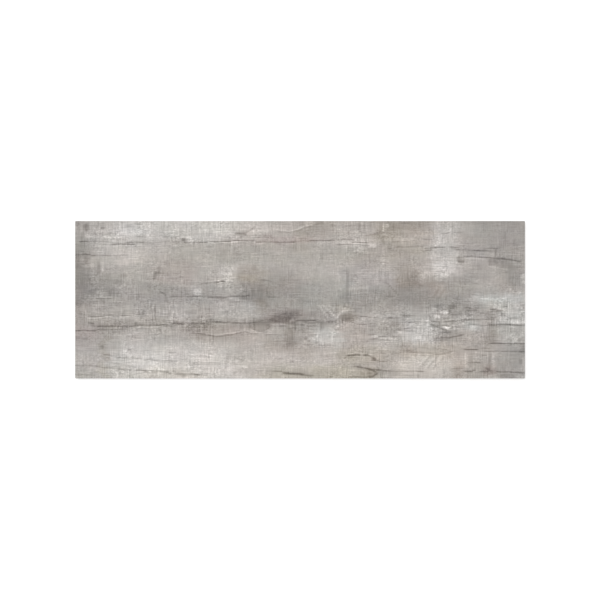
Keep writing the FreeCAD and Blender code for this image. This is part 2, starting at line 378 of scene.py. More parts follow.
# Lines of the print by the crack or edge they belong to: stroke in pixels, how many levels of 255
# it is darker, or below zero paler, and its points from left to right.
LINES = {
    "first crack, left": [
        (0.5, 50, ((79.6, 241.4), (88.4, 241.4))),
        (0.5, 24, ((88.6, 241.3), (97, 241.4), (110, 241.6))),
        (0.5, 26, ((96, 244.4), (112, 244.4))),
        (0.5, 58, ((112, 244.4), (136, 244.4))),
        (0.5, 52, ((125.5, 242.5), (144, 242.4))),
        (0.5, 32, ((144, 242.4), (152, 242.4), (161, 242.6))),
        (0.5, 42, ((136, 236.4), (144, 236.4))),
        (0.5, 24, ((160, 241.8), (181, 241.7))),
        (0.7, 52, ((183.5, 242), (187.5, 242.4))),
    ],
    "first crack, middle": [
        (0.5, 54, ((186, 242.4), (208, 242.4))),
        (0.5, 62, ((210, 241.7), (222, 241.6), (232, 241.2))),
        (0.5, 60, ((232, 240.5), (248, 240.5))),
        (0.5, 25, ((248, 240.6), (255, 240.8))),
        (0.8, 44, ((256, 242.2), (262, 242.3))),
        (0.6, 46, ((261, 242.2), (273, 242.1))),
        (0.7, 38, ((272, 242.2), (296, 242.3))),
        (0.5, 20, ((296, 241.5), (304, 241.2))),
        (0.5, 32, ((217, 243.5), (224, 243.5))),
        (0.5, -32, ((208, 242.8), (232, 242.5))),
        (0.5, -26, ((232, 241.7), (240, 241.6))),
        (0.5, -26, ((256, 243.7), (263, 243.7))),
        (0.5, -24, ((284, 243.6), (296, 243.5))),
    ],
    "first crack, right": [
        (0.6, 32, ((300, 240.6), (304, 240.9), (309, 241.2))),
        (0.5, 52, ((309, 240.4), (318, 240.3), (336, 240.2))),
        (0.5, 38, ((336, 239.5), (345, 239.4), (352, 239.4))),
        (0.5, 48, ((352, 242.4), (360, 242.4), (368.5, 242.6))),
        (0.6, -34, ((352, 243.7), (368, 243.6))),
        (0.5, -22, ((360, 241.2), (368, 241))),
        (0.5, 28, ((335, 244.7), (345, 244.6))),
        (0.5, 14, ((345, 244.6), (368, 244.9))),
        (0.6, -8, ((352, 245.8), (368, 246))),
        (0.7, 26, ((392, 241.9), (399, 241.3))),
        (0.7, 24, ((397, 246.6), (405, 247))),
        (0.7, 32, ((405, 246.6), (424, 246.4))),
        (0.5, 28, ((368, 248.6), (376, 248.5))),
        (0.5, 24, ((388, 248.6), (392, 248.6))),
        (0.5, 36, ((416, 239.3), (432, 239.4))),
        (0.5, 26, ((424, 251.2), (433, 250.2))),
    ],
    "edge of the wood over the split": [
        (1.2, 34, ((236, 233.1), (240, 233.6), (244, 233.9), (247.5, 236))),
        (0.7, 34, ((239.5, 236.6), (244, 236.9))),
        (0.9, 30, ((245.5, 232.8), (251, 229.6), (257, 225.2))),
        (0.5, 24, ((250, 235.6), (272, 235.6))),
        (0.5, 26, ((254, 237.4), (272, 237.4))),
        (0.7, 16, ((277, 231.4), (284, 232), (290, 232.2), (299, 231))),
        (0.7, -20, ((276, 229.2), (283, 230.4), (290, 230.8), (296, 229.8), (302, 228.2))),
        (0.7, -14, ((298, 228.6), (304, 226.6), (314, 223.4))),
        (0.8, 20, ((297, 230.8), (304, 228.4), (312, 225.6), (319, 223.8))),
    ],
    "left check": [
        (0.6, 34, ((70, 254.4), (81, 254.4))),
        (0.6, 40, ((80, 254.4), (91, 254.5))),
        (0.5, 44, ((91, 255.4), (96, 255.5))),
        (0.5, 38, ((96, 255.5), (112, 255.6))),
        (0.5, 22, ((112, 255.7), (127, 255.7))),
        (0.9, 16, ((89, 281), (91, 284.2), (94, 285.6), (96.5, 283))),
        (0.5, 34, ((96, 298.5), (112, 298.5))),
        (0.5, -22, ((96, 297.2), (112, 297.2))),
    ],
    "middle crack": [
        (0.9, 30, ((159, 290.4), (162, 292.6), (166, 295.4))),
        (0.6, 26, ((170, 296.5), (186, 296.4))),
        (0.5, 38, ((186, 296.4), (192, 296.3))),
        (0.5, 52, ((192, 296.3), (201, 296.3))),
        (0.5, 25, ((201, 296.7), (208, 297))),
        (0.7, 54, ((208, 297.4), (227, 297.4))),
        (0.5, 48, ((227, 296.4), (240, 296.4))),
        (0.8, 42, ((240, 296.9), (245, 296.4), (249, 295.4))),
        (0.5, 26, ((199, 284.6), (208, 283.2), (216, 282.2), (221, 281.4))),
        (0.6, 22, ((256, 279.6), (262, 280), (272, 281.4))),
        (0.6, 24, ((268, 297), (280, 297.4))),
        (0.9, 22, ((384, 283), (388, 283.4), (391, 287), (396, 292.6), (398, 295))),
        (0.5, 28, ((384, 296.4), (396, 296.4))),
        (0.5, -14, ((192, 298), (201, 298))),
        (0.5, -14, ((192, 300), (201, 300))),
    ],
    "rust on the brown patch": [
        (1.4, -12, ((431, 296), (437, 286))),
        (1.4, -14, ((436, 298), (443, 287))),
        (1.2, -12, ((441, 299), (446, 291))),
        (1.2, 12, ((433.6, 297), (440, 286.6))),
        (1.2, 12, ((438.6, 299), (445, 289))),
    ],
    "black dashes": [
        (0.5, 66, ((431, 247.4), (445, 247.4))),
        (0.5, 66, ((449.5, 247.2), (459, 247.4))),
        (0.5, 60, ((451, 249), (456, 249.4), (460, 249.5))),
        (0.5, 36, ((459, 250), (472, 250.2))),
        (0.6, 54, ((472, 250.4), (488, 250.4))),
        (0.5, 25, ((488, 251), (494, 251.4))),
        (0.5, 30, ((483, 248.9), (488, 248.4))),
        (0.5, 44, ((487, 248.3), (498, 248.4))),
        (0.5, 30, ((440, 233.8), (447, 233.4), (450, 232.4))),
        (0.5, 24, ((450, 232.2), (463, 232.4))),
        (0.5, 26, ((424, 248.5), (432, 248.5))),
    ],
    "curved crack": [
        (0.6, 50, ((464, 256.4), (472, 256.4), (480, 257), (490, 257.7), (497, 258.1))),
        (0.7, 48, ((496, 258), (504, 258.9), (512, 259.8))),
        (0.6, 46, ((511, 259.7), (516, 260.8), (521, 261.8))),
        (0.6, -14, ((464, 258), (486, 259.2))),
        (0.6, -12, ((488, 266.6), (496, 267.4), (508, 270))),
    ],
    "small checks on the left": [
        (0.5, 38, ((88, 316.6), (104, 316.6))),
        (0.5, -30, ((88, 317.7), (104, 317.6))),
        (0.5, 22, ((104, 315.3), (112, 315.2))),
        (0.5, -26, ((104, 316.4), (112, 316.3))),
        (0.5, 40, ((120, 315.5), (130, 315.6))),
        (0.5, -22, ((120, 316.7), (130, 316.7))),
        (0.5, 36, ((133, 314.6), (144, 314.5))),
        (0.5, -24, ((133, 315.7), (138, 315.6))),
        (0.9, 48, ((88, 322.6), (94, 323.4))),
        (0.6, 26, ((92, 325), (95, 326))),
        (0.6, 34, ((127.5, 349.5), (131.5, 349.5))),
        (0.6, 30, ((135, 350.6), (138, 350.4))),
        (0.5, 20, ((143, 350), (152, 350.8), (160, 351.5))),
    ],
    "long crack, left": [
        (0.6, 54, ((70, 330.5), (96, 330.4))),
        (0.5, 30, ((96, 329.6), (128, 329.6))),
        (0.7, 42, ((97, 326.3), (104, 326.4))),
        (0.8, 50, ((104, 326.4), (120, 326.2))),
        (0.6, 42, ((120, 326.4), (128, 326.7))),
        (0.6, 42, ((129, 326.2), (136, 325.9))),
        (0.6, 42, ((137, 325.3), (144, 325.4))),
        (0.7, 44, ((144, 325.3), (152, 325.2))),
        (0.6, 54, ((152, 325.4), (160, 325.5))),
        (0.8, 44, ((160, 325), (166, 324.4))),
        (0.6, 38, ((166, 325), (172, 325))),
        (1.2, 56, ((172, 323.4), (183.5, 323.6))),
        (0.6, -9, ((104, 327.8), (120, 327.6))),
        (0.6, -8, ((140, 326.8), (160, 327))),
    ],
    "long crack, middle": [
        (0.8, 38, ((191, 323.2), (208, 323.3))),
        (0.9, 16, ((208, 321.4), (216, 322))),
        (0.6, 52, ((215, 322.2), (227, 322.6))),
        (0.9, 42, ((227, 322.2), (231, 322.4))),
        (0.8, 44, ((231, 323.2), (252, 323.4))),
        (0.8, 42, ((252, 322.9), (257, 322))),
        (0.9, 42, ((257, 321.2), (264, 320.2))),
        (0.8, 22, ((264, 320), (272, 319.4))),
        (0.8, 36, ((264, 322.2), (280, 322.4))),
        (0.9, 24, ((280, 322.6), (298, 321.6))),
        (0.7, 54, ((296, 320.5), (316, 320.5))),
        (0.7, 34, ((316, 321.6), (320, 322.4))),
        (0.6, 24, ((327, 321.6), (336, 321.4))),
        (0.8, 20, ((249, 325), (252, 328.5), (256, 330.4), (264, 330.6), (268, 328.6), (271, 325))),
        (0.7, -20, ((249, 328.6), (252, 330.6), (256, 332), (262, 332.6))),
        (0.6, -18, ((271, 324.4), (287, 324.6))),
    ],
    "smoke of the knot": [
        (3.2, 28, ((254, 322.6), (268, 320.6), (280, 318.4), (290, 316.2))),
        (3.4, 30, ((273, 317.2), (283, 314.8), (299, 313.6))),
        (2.8, 16, ((294, 315), (306, 314.2))),
        (2.6, 9, ((302, 314.6), (316, 315.4))),
        (2.6, 42, ((270, 319.8), (276, 318.8), (284, 317.8), (291, 317.6))),
        (1.6, 42, ((271, 321.3), (280, 320.8), (290, 320.4))),
    ],
    "wavy edge": [
        (0.7, 28, ((192, 333), (200, 333.8), (208, 335), (214, 336.6), (220, 336.6), (224, 335.8))),
        (0.6, 28, ((224, 335), (234, 334.8))),
        (0.6, 28, ((234, 334.2), (240, 332.9))),
        (0.6, 30, ((239, 332.8), (246, 332), (250, 333.4))),
        (0.6, 26, ((248, 333.8), (258, 334))),
        (0.5, 28, ((264, 334.6), (272, 334.6))),
        (0.5, 22, ((272, 334.8), (288, 335))),
        (0.5, 26, ((256, 331.3), (264, 331.2))),
        (0.6, -20, ((210, 334.2), (216, 335), (224, 334.2))),
        (0.6, -22, ((224, 333.4), (234, 333), (240, 331.2), (246, 330.4), (252, 332.4))),
        (0.5, -18, ((264, 333.5), (272, 333.5))),
    ],
    "small knot": [
        (0.7, 28, ((353, 315.8), (359, 315.6))),
        (0.5, 36, ((359, 316.4), (368, 316.6))),
        (0.5, 48, ((368, 317.4), (378, 317.6))),
        (1.3, -22, ((336, 318), (339, 314.5), (343, 310.6))),
        (1.6, -22, ((320, 305.6), (324, 312), (328.4, 318.8))),
        (1.3, -22, ((323, 304.8), (330, 311.5), (336.4, 317.8))),
        (1.4, -14, ((311, 303.2), (316.4, 309.8))),
        (1.2, -16, ((327, 304.6), (335, 310.6))),
        (0.8, -13, ((317.5, 303.5), (322, 309.5), (326.5, 316.5))),
        (0.8, -15, ((321, 303), (326, 309.5), (331, 316.5))),
        (0.8, -15, ((326, 306), (331, 311.5), (336, 317.5))),
    ],
    "right crack": [
        (0.5, 28, ((384, 317.8), (389, 318))),
        (0.9, 44, ((388, 317.9), (393, 317.8))),
        (0.7, 42, ((393, 317.9), (400, 317.4))),
        (0.6, 18, ((400, 317.4), (406, 316.6), (416, 315.4))),
        (0.6, 34, ((396, 329.6), (401, 329.8))),
        (0.6, 40, ((403, 329.4), (407, 328.4), (411, 328.3))),
        (0.6, 38, ((408, 322.6), (416, 321.6))),
        (0.6, 38, ((416, 321.4), (424, 322.4), (430, 322.6))),
        (0.6, 54, ((431, 321.4), (437, 321.8), (447, 321.9))),
        (0.7, 48, ((446, 321.6), (452, 321.2), (458, 320.6))),
        (0.6, 44, ((456, 320.5), (464, 320.2))),
        (0.7, 46, ((464, 320.3), (471, 319.6), (480, 319.4))),
        (0.5, 28, ((480, 319.6), (496, 319.7))),
        (0.5, 42, ((490, 309.3), (497, 309.4))),
    ],
    "flecked wood on the right": [
        (0.8, 34, ((463, 308), (468, 307.2), (472, 309), (478, 310.4))),
        (0.6, 34, ((466, 310), (472, 311), (477, 310.6))),
        (1.1, 56, ((431, 324.4), (436, 326), (441, 328.2), (446, 329.6))),
        (0.6, 30, ((437, 325.4), (452, 325.4))),
        (0.8, 34, ((439, 332.6), (445, 332), (451, 332.4))),
        (0.8, 24, ((436, 334.6), (443, 333.8))),
        (0.8, 34, ((433, 338.5), (441, 337.7), (449, 337.6), (456, 336.4), (464, 334.4))),
        (0.6, 18, ((449, 314.6), (462, 314.4))),
        (0.6, 18, ((464, 314.4), (480, 315.4))),
        (0.5, 20, ((480, 313.4), (490, 313.6))),
    ],
    "right lower crack": [
        (0.5, 32, ((464, 324.6), (480, 324.5))),
        (0.6, 34, ((480, 325.2), (488, 325.6))),
        (0.9, 44, ((488, 325), (496, 324.9))),
        (0.8, 58, ((496, 324.7), (504, 324.6), (512, 324.8))),
        (0.8, 44, ((512, 325.2), (530, 325.2))),
        (0.5, 66, ((489.5, 343.3), (498, 343.3), (512, 343.4), (530, 343.5))),
        (0.5, 70, ((464, 349.4), (478, 349.5))),
        (0.5, 26, ((480, 348.4), (490, 348.4))),
        (0.5, 32, ((484, 351.2), (500, 351.2))),
        (0.5, 46, ((500, 351.3), (518, 351.2))),
        (0.7, 46, ((518, 351.4), (530, 351.4))),
        (0.5, 28, ((482, 355.6), (487, 355.4))),
        (0.5, 20, ((464, 362.4), (472, 362.4))),
        (0.5, 48, ((472, 362.4), (481, 362.6))),
        (0.6, -16, ((498, 342.2), (518, 342.2))),
    ],
    "tan seam": [
        (0.6, 24, ((408, 352.4), (424, 352.6), (432, 352.6))),
        (0.7, 28, ((436, 354.4), (442, 353.8), (448, 352.6), (454, 351))),
        (0.5, 34, ((304, 344.6), (313, 344.6))),
        (0.5, 24, ((318, 345.5), (336, 345.3))),
        (0.8, 24, ((369, 339.5), (378, 338.7))),
        (0.6, 24, ((368, 335), (376, 334.4))),
        (0.6, 40, ((378, 336.8), (398, 336.8))),
        (0.6, 20, ((400, 350.6), (412, 350.4))),
        (0.9, 20, ((422, 366), (431, 355))),
        (0.9, 20, ((428, 368), (438, 356))),
        (0.9, 18, ((434, 368), (444, 357))),
        (0.9, -16, ((419, 366), (428, 355))),
        (0.9, -16, ((425, 368), (435, 356))),
        (0.9, -14, ((431, 368), (441, 357))),
    ],
    "squiggle": [
        (0.9, 50, ((344.4, 357.8), (346.5, 356.2), (349, 355.4), (354, 355), (360, 354.9))),
        (0.9, 50, ((363.8, 355.2), (367, 355), (369, 356), (375.5, 358.6))),
        (0.6, 40, ((374, 359.8), (380, 361.2), (388, 361.8))),
        (0.6, -14, ((348, 353.6), (360, 353.2), (372, 354.4))),
    ],
    "eye": [
        (0.6, 28, ((353, 366.6), (358, 366.8))),
        (0.9, 56, ((356.5, 366.8), (363, 367.6), (370, 368.9))),
        (1.0, 60, ((367, 368.8), (372, 369.8), (375, 371.6), (377.5, 374.6))),
        (1.0, 56, ((364, 377.4), (370, 377), (374, 376), (377.5, 373))),
        (0.6, 34, ((349, 376.6), (358, 376.9), (366, 377.2))),
        (0.8, 40, ((370, 369), (376, 369.8), (382, 370.4))),
        (0.6, 46, ((382, 370.4), (392, 371.3), (400, 371.4))),
        (0.5, 42, ((400, 371.4), (412, 371.3))),
        (0.6, 46, ((411, 371.4), (424, 371.4))),
    ],
    "foot crack, middle": [
        (0.6, 22, ((256, 370.6), (264, 370.7), (272, 370.9))),
        (0.7, 36, ((272, 371), (283, 371.8))),
        (1.0, 70, ((283, 373.2), (292, 373.7), (300, 374.1), (304, 374.6))),
        (0.8, 32, ((304, 374.8), (314, 376))),
        (0.7, 24, ((233.5, 357), (238, 358.6), (243, 361), (247, 362))),
        (0.6, 22, ((200, 356), (206, 356), (212, 357.4))),
        (0.5, 22, ((193, 362.4), (217, 362.3))),
        (0.5, 16, ((194, 360.2), (218, 360.1))),
        (0.5, 18, ((196, 364.4), (222, 364.2))),
        (0.5, -16, ((194, 361.3), (220, 361.2))),
        (0.5, -16, ((196, 358.8), (216, 358.7))),
        (0.6, -18, ((190, 354.6), (199, 353.6), (207, 354.6), (214, 356))),
        (0.5, 16, ((225, 356.2), (230, 356.2))),
        (0.5, 22, ((224, 354), (230, 353.8))),
        (0.5, 20, ((224, 358.4), (229, 358.3))),
        (0.8, 32, ((290, 361.4), (295, 362.4))),
    ],
    "foot crack, right": [
        (1.3, 36, ((485, 368.4), (489, 369.8), (493, 372))),
        (0.7, 46, ((464, 371.4), (472, 371.6))),
        (0.6, 34, ((472, 370.6), (476, 370.2))),
        (0.6, 38, ((480, 371.5), (488, 371.6))),
        (0.6, 46, ((496, 371.9), (508, 372))),
        (0.6, 44, ((508, 371.9), (520, 372.2))),
        (0.8, 46, ((519, 372.6), (530, 372.4))),
        (0.5, 25, ((452, 368.6), (464, 368.4))),
    ],
    "checks of the pale lower left": [
        (0.6, 20, ((97, 353), (101, 354))),
        (0.6, 36, ((103, 354.4), (107, 354.9), (112, 355.9))),
        (0.5, 26, ((104, 358), (110, 357.6))),
        (0.6, 34, ((117, 357.8), (129, 357.4))),
        (0.6, 40, ((131, 357.3), (142, 359))),
        (0.6, 42, ((144, 359.9), (151, 359.2))),
        (0.6, 38, ((150, 360.3), (159, 360.5))),
        (0.6, 44, ((162, 360.6), (172, 360.4))),
        (0.6, 48, ((170, 361.4), (177, 361.4))),
        (0.5, 42, ((168, 352.4), (176, 352.6))),
    ],
    "lower left crack": [
        (0.5, 30, ((70, 365.4), (92, 365.6), (98, 366.5))),
        (0.6, 38, ((95, 366.6), (100, 366.6))),
        (0.6, 34, ((101, 367), (105, 367.6), (112, 367.9))),
        (0.5, 20, ((112, 368.6), (118, 368.6))),
        (1.0, 36, ((117.5, 369.4), (120, 369.4))),
        (0.7, 48, ((120, 369.5), (132, 370))),
        (0.7, 44, ((134, 370.3), (147, 370.4))),
        (0.8, 42, ((144, 371.2), (148, 371.6))),
        (0.6, 40, ((150, 371), (160, 371.3), (166, 371.6))),
        (1.0, 36, ((165, 371.6), (169, 372.4), (171, 374))),
        (0.8, 30, ((172, 371), (175, 372))),
        (1.0, 44, ((176, 374.2), (184, 374.1), (193, 374.2), (200, 374.9))),
        (0.6, 20, ((200, 374.8), (206, 375.6))),
        (0.6, 32, ((70, 374.4), (84, 374.4), (96, 375.4))),
        (0.6, -16, ((148, 369.6), (168, 370))),
    ],
}

# Marks of the print by where they are: left, right, top and bottom in pixels, and how many levels
# of 255 it is lighter, or below zero darker, than what lies round it.
MARKS = {
    "small lights and shades": [
        (428.4, 432.8, 319.4, 329.2, 9), (184, 206, 239.8, 244.6, 6), (303.6, 315.8, 238.6, 243.2, 6),
        (167.2, 173.2, 320.8, 327.2, 8), (213.4, 222.2, 279.4, 286.4, 7),
        (197.2, 203.2, 314.8, 322.2, -9), (359.4, 367.8, 326.4, 334.6, -8),
        (503.4, 513.2, 314.4, 323.2, 7), (299, 307.4, 319.4, 329.8, 6), (301.4, 312.8, 341.4, 348.6, 7),
    ],
    "specks of the left end": [
        (83.4, 88.4, 223.6, 231.4, -34), (81.5, 85, 231.5, 238, -16), (86.6, 88.8, 221.8, 227, -12),
        (100.5, 105, 226.8, 229.2, -34), (88, 95, 290, 295.5, -14), (108.5, 112, 289.5, 296.5, -16),
        (100.5, 104, 292, 297.6, 16), (97.4, 100, 261, 275, -18), (100.4, 103.2, 262, 277, 14),
        (81.8, 83.8, 272, 300, -8), (70, 80, 255, 302, -6), (70, 84, 300, 304.5, -10),
        (118, 127, 273.6, 277.4, -10), (112, 121, 279, 284.5, -8), (101.4, 104.6, 300.4, 304, -24),
        (90, 94, 260, 282, 10), (84, 88, 256, 264, -8),
    ],
    "pale upper left": [
        (119, 136, 230.4, 234, 14), (136.4, 143, 229, 234, 14), (99, 114, 231, 236, -8),
        (147.5, 150, 222, 240, 10), (95, 113, 234.6, 237.4, 4), (84, 92, 234, 238, 10),
        (174, 179, 228, 232, 10), (235.6, 246.4, 231, 236, -14), (200, 208, 228.6, 231, 10),
        (202, 206.5, 221.5, 224, -16), (163, 165.6, 232, 240, -8),
    ],
    "knot speck": [
        (181.5, 185.5, 238, 241.5, -46), (187, 192, 236.5, 241.8, 14),
    ],
    "hook": [
        (153.2, 156, 272, 280, -32), (155, 162, 272, 274.4, -26), (157.6, 160.4, 266, 272.5, -26),
        (155.3, 157.4, 267.5, 271.5, 14), (164, 168, 296, 302, -16), (179, 183.5, 276, 277.8, -18),
    ],
    "worn spot": [
        (228.6, 232.4, 270.6, 275.6, 26), (225, 229, 273, 281, 10), (228, 237, 267.6, 270.4, 10),
        (224, 234, 270.8, 271.8, -16), (220.6, 224.8, 280.6, 282.2, -64),
        (216.4, 219.6, 281.6, 283.2, -50), (223, 224.6, 283, 284, -38), (217, 218.4, 284.4, 285.6, -28),
        (223, 224.4, 285.6, 291, -20), (218, 224, 282.6, 284.2, 26), (220.6, 222.4, 284.4, 287.4, 26),
    ],
    "rings of the dark band": [
        (194, 201.4, 288.4, 295, 18), (196.4, 199.2, 290.6, 292.8, 8),
        (234.6, 240.4, 287.4, 292.6, -18), (231, 240, 289.4, 294.6, 10), (234, 238, 291, 293.4, -8),
        (225, 230, 288.4, 292, 9), (230.4, 233.6, 297.2, 299.4, 18), (234.4, 239.6, 297.6, 301, 18),
        (228, 240, 300.6, 303, -16), (241, 243, 300, 303, -16),
    ],
    "brown patch": [
        (250.4, 252.4, 287, 300, -14), (253, 255, 288, 300, -10), (256, 263, 289, 300, -8),
        (280, 285, 276, 288, -5), (252, 256, 265.6, 270.6, -14), (223, 225.4, 249.6, 253.4, -12),
        (233, 238.6, 248, 249.8, -5), (216.6, 224.6, 254, 257.2, -9), (233, 240, 252.6, 256.4, -3),
    ],
    "upright streaks": [
        (345.8, 348.8, 269, 302, -20), (343, 345, 288, 299, -14), (341.6, 343.4, 272, 285, -10),
        (350, 352, 274, 284, -12), (344.2, 346, 272, 281, 8), (339, 341, 272, 280, 8),
        (342, 346, 270.4, 271.6, -16), (382.4, 384.4, 222.5, 232, 30), (376.4, 378.4, 264, 300, 9),
        (383, 384.8, 246, 282, 8), (357, 358.6, 224, 260, 6), (503.6, 505.4, 231, 245, -12),
        (494.8, 496.4, 249.4, 257, -32),
    ],
    "top of the right boards": [
        (385.6, 389.4, 223.6, 227.4, 26), (391, 400, 223, 232, -6), (378, 382, 222, 240, -6),
        (316, 329, 241, 244, 14), (340, 352, 241.4, 243.8, 16), (352, 360, 245.6, 248, 2),
        (368, 376.6, 243, 248, 24), (304, 313, 221, 226, 12), (316, 323, 221, 224.6, -14),
        (329, 334, 252.8, 254.2, -14), (312, 317, 245, 248, -9), (296, 303, 262, 263.6, -10),
    ],
    "dark square": [
        (457, 464.6, 256.2, 262.8, -22), (457, 460.4, 256.2, 262.8, -16),
        (458, 464.6, 260.4, 262.8, -20), (461, 464, 258, 260.2, 10),
    ],
    "pale block": [
        (431, 459, 210, 279, 8), (432, 457, 261, 276, 5), (432, 447, 264.4, 269.6, 9),
        (432, 441, 241, 246, 8), (420, 432, 271.6, 277.6, 8), (436, 442, 233, 238.6, 12),
        (450.6, 455.4, 273, 275.4, -16), (453, 455, 275, 281, -14), (441, 449, 274.6, 277.4, 8),
    ],
    "right patch": [
        (488, 497, 258.6, 265.4, -20), (496, 513, 261, 268, -12), (507, 521, 266, 286, -10),
        (521, 527, 274, 279, 28), (521.4, 527, 281, 284, 28), (523, 527, 288, 292, 16),
        (518, 521, 291, 294, 16), (505.6, 508.2, 288, 290.4, 24), (512, 515, 290, 292.4, 20),
        (508.8, 511.4, 287.4, 290, 26), (504, 506, 292, 294, 12), (507.8, 510.4, 293.4, 295.6, 24),
        (480, 489, 297.8, 299.4, 24), (496, 507, 297.4, 299, 14), (512, 520, 297, 298.4, 12),
        (477, 482, 265, 272, -8),
    ],
    "sides of the long crack": [
        (91, 93.2, 312.6, 319.6, -14), (134.2, 136.8, 321.8, 326, -28), (136.8, 140, 326.2, 328.4, 16),
        (170.4, 172.8, 312, 322, 16), (154.6, 156.8, 305, 320, -22), (157.4, 159.4, 307.6, 313, 12),
        (187, 192, 322.6, 327.4, -12), (192, 208, 324, 327.6, -5), (88, 92, 326, 328, 12),
        (193, 195, 324, 328, -10), (198, 200, 324, 328, -10), (203, 205, 324, 327, -8),
        (248, 270.4, 321.8, 330.8, -12), (265.6, 271, 324, 329, -10), (176.4, 178, 303, 345, 7),
        (180.6, 182.2, 303, 345, 7), (209, 210.6, 312, 345, -10), (212.6, 214.2, 312, 345, -10),
    ],
    "specks of the left boards": [
        (100.6, 104, 345, 348.8, -24), (83, 87, 337.4, 340, -14), (122.4, 128, 349.6, 355, 12),
        (126, 135, 345, 348, 10), (149, 160, 361, 368, 6), (117, 120, 366, 371, -8),
        (121, 127, 370.4, 373, 10), (181.5, 185.5, 374.4, 377.8, -20), (176.4, 179.2, 362, 369, 12),
        (115.6, 118, 371, 380, 14), (243, 247.4, 365.4, 368, 18),
    ],
    "knot": [
        (286, 300, 311, 319, -8), (279, 287, 309, 314, 4),
    ],
    "rings under the knot": [
        (289, 290.8, 319, 330, 10), (292.6, 294.4, 319, 330, 8), (290, 293.6, 324.4, 329.8, 8),
        (288, 297, 322, 331, -8), (294, 296.6, 324, 331, -14), (288, 296, 335, 346, -6),
    ],
    "right of the knot": [
        (300.4, 302.6, 323, 331, -16), (320, 326.4, 321, 328.4, -12), (327.4, 329.2, 320.6, 323, -26),
        (331.2, 333, 320.6, 323.2, -26), (334.2, 336, 320.6, 322.6, -22), (304, 316, 321.6, 324, -10),
        (339.6, 353.4, 313.4, 321.4, -22), (342, 351, 315, 320.6, -10), (343, 345.8, 307.4, 313, 24),
        (346.4, 348.4, 308.4, 312, 12), (361.6, 365.4, 316.8, 319.6, 18), (343, 347, 305.6, 307.4, -16),
        (300, 303, 338, 341, -14),
    ],
    "worn patch": [
        (304.6, 307.6, 337.6, 340, -28), (308, 311, 340, 342.2, -28), (315.2, 318.4, 341.4, 343.8, -30),
        (305, 320, 334.6, 337.6, 6), (338.6, 341, 338.8, 343, -10), (366, 368.4, 339.6, 342, -18),
        (329, 335, 330, 345, 3), (303.6, 306, 340.4, 343, 14), (308.4, 311, 336.4, 339, 16),
        (312, 315.4, 337.4, 340.2, 18), (319, 321.6, 338, 341, 12), (311.4, 314, 342.2, 344, 12),
        (316, 318.4, 334.4, 337, 14), (306, 308, 333.6, 336, 12),
    ],
    "flecks of the right middle": [
        (368, 376, 325.6, 327.6, -12), (391, 399, 321.4, 326.4, -12), (384, 392, 324.6, 331, -6),
        (372, 379, 335, 337.6, 26), (398, 402.6, 330.8, 333.6, 24), (404.6, 411, 323.6, 327.6, 12),
        (380, 386, 326, 328, -12), (371, 384, 338.4, 340.4, -10), (414, 422, 334, 340, 10),
    ],
    "squiggle and eye": [
        (371.8, 375.8, 358.2, 361.2, -38), (363, 366, 353.6, 356.6, -22),
        (367.6, 372.4, 372.2, 374.2, -20), (329, 332.4, 375.8, 377.8, -26), (340, 366, 369.6, 376, 8),
    ],
    "flecked wood": [
        (448, 456, 304.6, 308.8, -20), (436, 441, 304.6, 307.6, -18), (450.6, 457, 313.8, 316.4, -20),
        (447.6, 450.4, 309.6, 313.6, -22), (432.4, 436.4, 307.4, 310.6, 34),
        (441, 448.6, 310.8, 313.8, 40), (434.6, 440.6, 314.4, 318.6, 36), (442, 450, 326.4, 329.6, 52),
        (434, 448, 338.6, 341.4, -14), (436, 458, 331.6, 339, -6), (470, 476.6, 324.8, 330.4, 14),
        (460, 463, 305, 308, 10), (456, 460, 310, 313, 10),
    ],
    "right end": [
        (497, 501.6, 309.6, 312, -18), (501, 505, 312.8, 315, -16), (510, 530, 320.6, 323.4, 22),
        (512, 517.6, 336.6, 342.6, 14), (518.2, 520, 338, 342.6, -20), (474, 478.4, 345.6, 348.8, -16),
        (521.8, 527, 344, 351, -18), (519, 522.4, 359.4, 364.6, -14), (522, 530, 356, 378, 14),
        (498, 516, 374, 380, -16), (416.6, 419.4, 374, 378, -18), (488, 494, 324, 343, -4),
        (499, 503, 306.4, 308, -12), (515, 520, 327, 334, -8), (508, 512, 316, 320, -8),
        (464, 467.6, 350.6, 367, 16), (469.6, 473, 352, 366, -8), (488, 491, 352, 370, -12),
        (520, 527, 307.4, 309, 12), (520, 527, 309, 310.6, -14), (520, 527, 310.8, 312.2, 12),
        (471.4, 474.8, 326, 329, 14), (491.4, 494.6, 352, 371, 14), (495.2, 530, 352.4, 370.6, -4),
        (488, 496, 324, 342, -3),
    ],
}

# Where the saw marks and the grain stand out more, or less, than on the rest of the boards: left,
# right, top and bottom in pixels, and the share by which they do.
ROUGH = {
    "pale upper left": (85, 250, 218, 246, 0.35),
    "top right of the middle": (340, 382, 218, 250, 0.3),
    "hook": (145, 167, 264, 290, 0.3),
    "worn spot": (214, 246, 270, 305, 0.35),
    "left of the long crack": (110, 200, 306, 336, 0.55),
    "middle of the long crack": (200, 340, 312, 332, 0.2),
    "hatch by the long crack": (200, 217, 310, 347, 0.6),
    "hairs by the small knot": (316, 352, 303, 330, 0.4),
    "right middle": (366, 430, 312, 345, 0.5),
    "flecked wood": (424, 462, 302, 344, 0.7),
    "right end": (460, 535, 300, 345, 0.3),
    "rough right end": (493, 535, 303, 324, 0.75),
    "pale lower left": (108, 226, 350, 385, 0.4),
    "lower middle": (338, 392, 348, 385, 0.3),
    "smooth middle": (250, 338, 248, 308, -0.3),
    "smooth brown": (386, 462, 280, 306, -0.3),
    "smooth upper right": (460, 535, 215, 247, -0.45),
    "smooth left": (165, 216, 248, 276, -0.25),
    "smooth lower band": (106, 300, 334, 350, -0.2),
    "smooth right patch": (466, 520, 262, 292, -0.25),
    "smooth lower right": (494, 520, 344, 368, -0.25),
}

